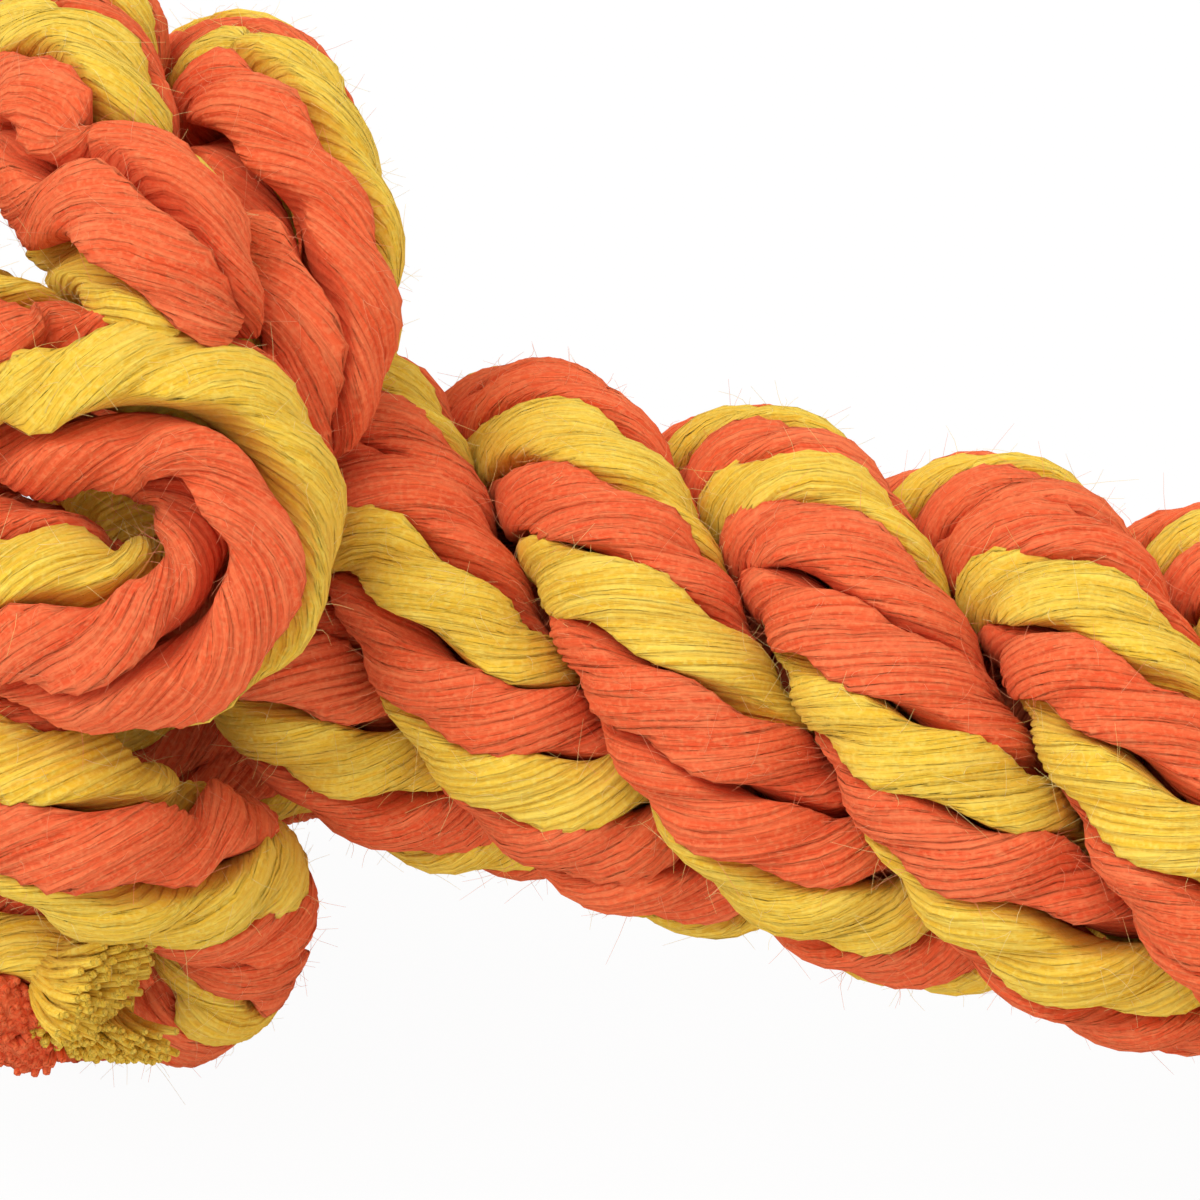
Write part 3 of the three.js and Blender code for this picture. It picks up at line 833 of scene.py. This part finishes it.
# %% Make a cotton finish
def cotton(name, body, light, shade, fold_shade_and_fibre_tone):
    """A cotton material with fibres along the yarn map."""
    material, tree, shader = new_finish(name, {**SHEEN, "Sheen Tint": light})
    yarn_map = new_node(tree, "UVMap", {}, uv_map="yarn_map")["UV"]
    places = new_node(tree, "TexCoord", {})["Object"]
    # The painted groove shade kept with the mesh.
    groove_shade = new_node(tree, "Attribute", {}, attribute_name="groove_shade")["Fac"]

    def along_yarns(across, along, detail):
        scale = (1 / across, 1 / along, 1)
        scaled = new_node(tree, "Mapping", {"Vector": yarn_map, "Scale": scale})["Vector"]
        inputs = {"Vector": scaled, "Scale": 1, "Detail": detail, "Roughness": STREAK_ROUGHNESS}
        return new_node(tree, "TexNoise", inputs, noise_dimensions="2D")["Fac"]

    def in_space(scale, detail):
        inputs = {"Vector": places, "Scale": scale, "Detail": detail}
        return new_node(tree, "TexNoise", inputs)["Fac"]

    def ranged(value, low, high, to_low, to_high):
        inputs = {"Value": value, "From Min": low, "From Max": high, "To Min": to_low,
                  "To Max": to_high}
        return new_node(tree, "MapRange", inputs)["Result"]

    def raised(height, strength, distance, invert=False, **below):
        inputs = {"Height": height, "Strength": strength, "Distance": distance * MM, **below}
        return new_node(tree, "Bump", inputs, invert=invert)["Normal"]

    streaks = along_yarns(*DYE_STREAKS)
    lines = along_yarns(*FIBRE_LINES)
    tangle = in_space(*TANGLE)
    place = new_node(tree, "SeparateXYZ", {"Vector": yarn_map})["X"]
    slip = ranged(streaks, 0.0, 1.0, -YARN_SLIP, YARN_SLIP)
    turned = new_node(tree, "Math", {0: place, 1: YARN_TURN, 2: slip}, operation="MULTIPLY_ADD")
    edges = new_node(tree, "Math", {0: turned["Value"]}, operation="COSINE")["Value"]
    colour = mixed(tree, ranged(streaks, *STREAK_RANGE), shade, light)
    # Fibre lines take the fold colour as their own darker tone; yarn edges and grooves get it as
    # painted shade.
    for value, limits, other in ((in_space(*PATCHES), PATCH_RANGE, body),
                                 (lines, LINE_RANGE, fold_shade_and_fibre_tone), (tangle, TANGLE_RANGE, light),
                                 (in_space(*FLECKS), FLECK_RANGE, light),
                                 (edges, YARN_EDGE_SHADE_RANGE, fold_shade_and_fibre_tone), (groove_shade, GROOVE_SHADE_RANGE, fold_shade_and_fibre_tone)):
        colour = mixed(tree, ranged(value, *limits), colour, other)
    tree.links.new(colour, shader["Base Color"])
    normal = raised(edges, *YARN_RELIEF, invert=True)
    normal = raised(lines, *LINE_RELIEF, Normal=normal)
    normal = raised(tangle, *FUR_RELIEF, Normal=normal)
    tree.links.new(normal, shader["Normal"])
    return material


# fold: the colour of painted shade in grooves and at yarn edges, and of the darker fibre lines.
ORANGES = {"body": linear(247, 106, 60), "light": linear(251, 136, 88),
           "shade": linear(242, 88, 48), "fold_shade_and_fibre_tone": linear(206, 52, 24)}
YELLOWS = {"body": linear(247, 203, 64), "light": linear(251, 221, 102),
           "shade": linear(244, 192, 50), "fold_shade_and_fibre_tone": linear(216, 146, 34)}
orange_cotton = cotton("orange_cotton_cords", **ORANGES)
yellow_cotton = cotton("yellow_cotton_cords", **YELLOWS)
COTTONS = (("orange", orange_cotton), ("yellow", yellow_cotton))
print("finishes:", orange_cotton.name, yellow_cotton.name)

# %% [markdown]
# ## The four ropes
# Each rope becomes two pieces, its three orange cords and its two yellow ones, and together
# they take the place of the solid rope.

# %% Make the cords of the ropes
ROPE_SEEDS = 100
CORD_SEEDS = 10
skins = {}
for rope, (cords, half) in enumerate(laid):
    seeds = [ROPE_SEEDS * rope + CORD_SEEDS * cord + 1 for cord in range(CORDS)]
    for colour, material in COTTONS:
        groups = []
        for cord in range(CORDS):
            if CORD_COLOURS[cord] == colour:
                groups.append(cord_skin(cords, half, seeds, cord))
                skins[rope, cord] = groups[-1][0][0]
        piece = piece_from_tubes(f"rope_{rope + 1}_{colour}_cords", groups, material,
                                 f"rope_{rope + 1}")

# %% [markdown]
# ## The heart rope
# A thinner rope runs straight through the middle and keeps the four others apart. It is
# hardly seen, so its five cords are the same skins with fewer columns and rings.

# %% Make the heart rope
HEART_COLUMNS = 24
HEART_RING_SPACING = 2.3
HEART_POINTS = 60
HEART_SEED = 900
HEART_END_INSIDE = 1  # for the domes on the cords' ends
heart_end = NECK + HEART_REACH - HEART_END_INSIDE
heart_line = np.zeros((HEART_POINTS, 3))
heart_line[:, 0] = np.linspace(-heart_end, heart_end, HEART_POINTS)
heart_cords, heart_half = cords_of(heart_line + GRIP_MIDDLE, (0, (0, 0)), HEART_RING_SPACING)
heart_half = np.full_like(heart_half, HEART_DIAMETER / 2)
heart_seeds = [HEART_SEED + cord for cord in range(CORDS)]
groups = [cord_skin(heart_cords, heart_half, heart_seeds, cord, HEART_COLUMNS)
          for cord in range(CORDS)]
heart_bundle = piece_from_tubes("heart_rope_bundle", groups, orange_cotton, "heart_rope")

# %% [markdown]
# ## Cut ends
# Where a rope is cut off square its yarns stand out like the bristles of a brush, and they
# spread as they come free. Each yarn is a short tube of six columns. On each cord's end they
# are set out like the seeds of a sunflower, which fills a round face evenly, and they lean
# out from its middle with a little disorder. On one end the yellow cords were left longer
# and have opened into a tuft.

# %% Make short tubes
YARN_COLUMNS = 6
NEARLY_ALONG = 0.8


def tubes_along(paths, radius, columns):
    """Tubes along many short paths at once; the radius is given for each point."""
    along = unit(np.gradient(paths, axis=1))
    helper = np.where(abs(along[..., :1]) < NEARLY_ALONG, [1.0, 0, 0], [0, 1.0, 0])
    side = unit(np.cross(along, helper))
    up = np.cross(side, along)
    angle = math.tau * np.arange(columns) / columns
    ring = up[:, :, None] * np.cos(angle)[:, None] - side[:, :, None] * np.sin(angle)[:, None]
    steps = np.linalg.norm(np.diff(paths, axis=1), axis=2)
    length = np.concatenate([np.zeros((len(paths), 1)), np.cumsum(steps, axis=1)], axis=1)
    return paths[:, :, None] - ring * radius[..., None, None], length


trial, _ = tubes_along(np.eye(3)[None], np.ones((1, 3)), YARN_COLUMNS)
print("a short tube has rings and columns:", trial.shape[1:3])

# %% Set out the yarns of a cut end
YARN_RINGS = 5
FACE_SHARE = 0.86
GOLDEN_TURN = math.pi * (3 - math.sqrt(5))
START_INSIDE = 2.0
DISORDER = 0.13
ASKEW = np.array([0.3, 0.5, 0.8])


def cut_yarns(centre, along, lengths, lean, spread, seed, count):
    """Paths of the yarns that stand out of one cord's end."""
    random = np.random.default_rng(seed)
    number = np.arange(count)
    reach = FACE_SHARE * CORD_DEPTH * np.sqrt((number + 0.5) / count)
    side = unit(np.cross(along, ASKEW))
    up = np.cross(side, along)
    turn = GOLDEN_TURN * number
    away = side * np.cos(turn)[:, None] + up * np.sin(turn)[:, None]
    foot = centre + away * reach[:, None] - along * START_INSIDE
    share = np.linspace(0, 1, YARN_RINGS)[None, :, None]
    heading = along + away * (spread * reach / CORD_DEPTH)[:, None]
    heading = heading + random.normal(0, DISORDER, (count, 3))
    long = random.uniform(*lengths, count) + START_INSIDE
    bend = lean * share ** 2
    return foot[:, None] + (unit(heading)[:, None] * share + bend) * long[:, None, None]


print("turn from one yarn to the next, degrees:", round(math.degrees(GOLDEN_TURN), 1))

# %% Make the cut ends
# For each kind of end: least and largest length, lean, spread, number of yarns.
NO_LEAN = np.zeros(3)
CUT_END = ((1.0, 2.4), NO_LEAN, 0.3, 60)
SHORT_END = ((0.3, 0.8), NO_LEAN, 0.3, 60)
TUFT_END = ((3.0, 4.2), np.array([0.35, -0.1, 0.5]), 0.85, 180)
TUFT_ROPE = 2
CUT_SEED = 3000
ROPE_END_SEEDS = 20
END_SEEDS = 10
YARN_RADIUS = 0.38
YARN_SWELL = np.array([1, 1, 1.02, 1.08, 0.85])
YARN_ROUND = 2.4
YARN_CAP = 0.12
# Painted shade at the foot of each standing yarn, where it leaves the cord.
FOOT_SHADE = 0.7

yarn_paths = {"orange": [], "yellow": []}
for rope, (cords, _) in enumerate(laid):
    for end, is_tucked in enumerate(ends_tucked[rope]):
        if is_tucked:
            continue
        for cord, (middle, _, _) in enumerate(cords):
            colour = CORD_COLOURS[cord]
            at, before = (0, 2) if end == 0 else (-1, -3)
            along = unit(middle[at] - middle[before])
            kind = CUT_END
            if rope == TUFT_ROPE and end == 0:
                kind = TUFT_END if colour == "yellow" else SHORT_END
            lengths, lean, spread, count = kind
            seed = CUT_SEED + rope * ROPE_END_SEEDS + end * END_SEEDS + cord
            yarn_paths[colour].append(
                cut_yarns(middle[at], along, lengths, lean, spread, seed, count))
for colour, material in COTTONS:
    paths = np.concatenate(yarn_paths[colour])
    thin = np.broadcast_to(YARN_RADIUS * YARN_SWELL, paths.shape[:2])
    tubes, length = tubes_along(paths, thin, YARN_COLUMNS)
    # Painted shade, darkest at the foot and fading out along each yarn.
    shade = np.linspace(FOOT_SHADE, 0.0, YARN_RINGS)[None, :, None]
    shade = np.broadcast_to(shade, tubes.shape[:3])
    group = tubes, shade, length, YARN_ROUND, YARN_CAP
    piece = piece_from_tubes(f"cut_ends_{colour}", [group], material)

# %% [markdown]
# ## Loose fibres
# Soft cotton is covered in fine fibres that stand up and blur its edges. A particle system
# could grow them, but it isn't kept in the finished mesh, so they are made as thin
# three-sided tubes: many short ones for the fur, and some longer stray ones. They start at
# random points of the skins, on the outer side of the cords, and most lie nearly flat.

# %% Choose the ways of the fibres
FIBRE_RADIUS = 0.023
FIBRE_RISE = (0.05, 0.5)
FIBRE_ROOT = 0.05
OFF_THE_END = 2
TRIES = 3
OUTER_SIDE = 0.35


def fibre_paths(count, lengths, rings, droop, colour, seed):
    """Curved paths of fibres on the cords of a colour."""
    random = np.random.default_rng(seed)
    keys = [key for key in skins if CORD_COLOURS[key[1]] == colour]
    each = count // len(keys)
    feet, normals = [], []
    for rope, cord in keys:
        middle, outward, _ = laid[rope][0][cord]
        ring = random.integers(OFF_THE_END, len(middle) - OFF_THE_END, each * TRIES)
        column = random.integers(0, COLUMNS, len(ring))
        foot = skins[rope, cord][ring, column]
        normal = unit(foot - middle[ring])
        seen = (normal * outward[ring]).sum(1) > OUTER_SIDE
        feet.append(foot[seen][:each])
        normals.append(normal[seen][:each])
    feet, normals = np.concatenate(feet), np.concatenate(normals)
    way = random.normal(0, 1, feet.shape)
    way = unit(way - normals * (way * normals).sum(1, keepdims=True))
    way = unit(way + normals * random.uniform(*FIBRE_RISE, (len(feet), 1)))
    curl = random.normal(0, droop, feet.shape)
    share = np.linspace(0, 1, rings)[None, :, None]
    long = random.uniform(*lengths, len(feet))[:, None, None]
    reach = (way[:, None] * share + curl[:, None] * share ** 2) * long
    paths = (feet - normals * FIBRE_ROOT)[:, None] + reach
    paths[..., 2] = np.maximum(paths[..., 2], LYING_HEIGHT + FIBRE_RADIUS)
    return paths


print("cords that grow fibres:", len(skins))

# %% Make a finish for fibres
FIBRE_LOOKS = {"Roughness": 0.85, "Specular IOR Level": 0.2}
FIBRE_COLOUR_SCALE = 300


def fibre_finish(name, dark, pale):
    """Cotton for single fibres: the colour wanders from fibre to fibre."""
    material, tree, shader = new_finish(name, FIBRE_LOOKS)
    places = new_node(tree, "TexCoord", {})["Object"]
    wander = new_node(tree, "TexNoise", {"Vector": places, "Scale": FIBRE_COLOUR_SCALE})["Fac"]
    tree.links.new(mixed(tree, wander, dark, pale), shader["Base Color"])
    return material


FINISHES = {
    "orange": fibre_finish("orange_fibres", linear(244, 112, 66), linear(255, 196, 150)),
    "yellow": fibre_finish("yellow_fibres", linear(246, 206, 90), linear(255, 244, 190))}
print("finishes:", sorted(finish.name for finish in FINISHES.values()))

# %% Grow the loose fibres
FUR_PIECES = 2
FUR_PIECE_SEEDS = 10
# For fur and strays: how many, least and largest length, rings, droop, seed.
FIBRE_KINDS = ((7400, (0.7, 2.1), 4, 0.7, 71), (130, (1.2, 2.6), 6, 0.9, 72))
FIBRE_TIP = 0.45
FIBRE_SIDES = 3
FIBRE_ROUND = 0.14
FIBRE_CAP = 0.02
for colour, finish in FINISHES.items():
    for number in range(FUR_PIECES):
        groups = []
        for count, lengths, rings, droop, seed in FIBRE_KINDS:
            seed = seed + FUR_PIECE_SEEDS * number
            paths = fibre_paths(count, lengths, rings, droop, colour, seed)
            thin = FIBRE_RADIUS * np.linspace(1, FIBRE_TIP, rings)
            tubes, length = tubes_along(paths, np.broadcast_to(thin, paths.shape[:2]), FIBRE_SIDES)
            groups.append((tubes, np.zeros(tubes.shape[:3]), length, FIBRE_ROUND, FIBRE_CAP))
        piece = piece_from_tubes(f"loose_fibres_{colour}_{number + 1}", groups, finish)

# %% [markdown]
# ## Floor and light
# The toy lies on a white table in soft light from the upper left. The floor shows white to
# the camera and keeps a faint shadow. The sky is even, and one large soft lamp gives the
# shape.

# %% Lay the floor
FLOOR_SIZE = 6.0
FLOOR_GLOW = 0.96  # share of plain white in what the camera sees of the floor
PAPER_LOOKS = {"Base Color": linear(238, 238, 238), "Roughness": 0.95}
WHITE = (1, 1, 1, 1)


def shown_to_camera(tree, lit, shown, share, end):
    """Mixes a share of another shader into what the camera sees by itself."""
    sight = new_node(tree, "LightPath", {})["Is Camera Ray"]
    part = new_node(tree, "Math", {0: sight, 1: share}, operation="MULTIPLY")[0]
    both = new_node(tree, "MixShader", {0: part, 1: lit, 2: shown})[0]
    tree.links.new(both, tree.nodes[end].inputs["Surface"])


bpy.ops.object.select_all(action="DESELECT")
bpy.ops.mesh.primitive_plane_add(size=FLOOR_SIZE, location=(0, 0, 0))
floor = bpy.context.object
floor.name = "floor"
paper, paper_tree, _ = new_finish("white_table", PAPER_LOOKS)
glow = new_node(paper_tree, "Emission", {"Color": WHITE, "Strength": 1.0})[0]
lit_paper = paper_tree.nodes["Principled BSDF"].outputs[0]
shown_to_camera(paper_tree, lit_paper, glow, FLOOR_GLOW, "Material Output")
floor.data.materials.append(paper)
floor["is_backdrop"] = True
print("floor", FLOOR_SIZE, "m wide")

# %% Light the toy
SKY_STRENGTH = 0.9
LAMP_STRENGTH = 1.35
LAMP_ANGLE = math.radians(45)
LAMP_DIRECTION = Vector((-0.35, -0.55, 1.0))
world = bpy.data.worlds.new("sky")
bpy.context.scene.world = world
world.use_nodes = True
sky = world.node_tree.nodes["Background"]
sky.inputs["Color"].default_value = WHITE
sky.inputs["Strength"].default_value = SKY_STRENGTH
backdrop = new_node(world.node_tree, "Background", {"Color": WHITE, "Strength": 1.0})[0]
shown_to_camera(world.node_tree, sky.outputs[0], backdrop, 1.0, "World Output")
lamp = bpy.data.objects.new("soft_lamp", bpy.data.lights.new("soft_lamp", "SUN"))
lamp.data.energy = LAMP_STRENGTH
lamp.data.angle = LAMP_ANGLE
lamp.rotation_euler = LAMP_DIRECTION.to_track_quat("Z", "Y").to_euler()
bpy.context.scene.collection.objects.link(lamp)
bpy.context.scene.view_settings.view_transform = "Standard"
print("sky", SKY_STRENGTH, "lamp", LAMP_STRENGTH)

# %% [markdown]
# ## The sizes
# The box of the solids and the box of the finished toy are printed side by side, as the
# extra at each side.

# %% Print the sizes
dressed_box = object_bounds()
for axis in range(3):
    extra = [cad_box[0][axis] - dressed_box[0][axis], dressed_box[1][axis] - cad_box[1][axis]]
    print("xyz"[axis], "extra at each side, mm:", [round(value / MM, 2) for value in extra])
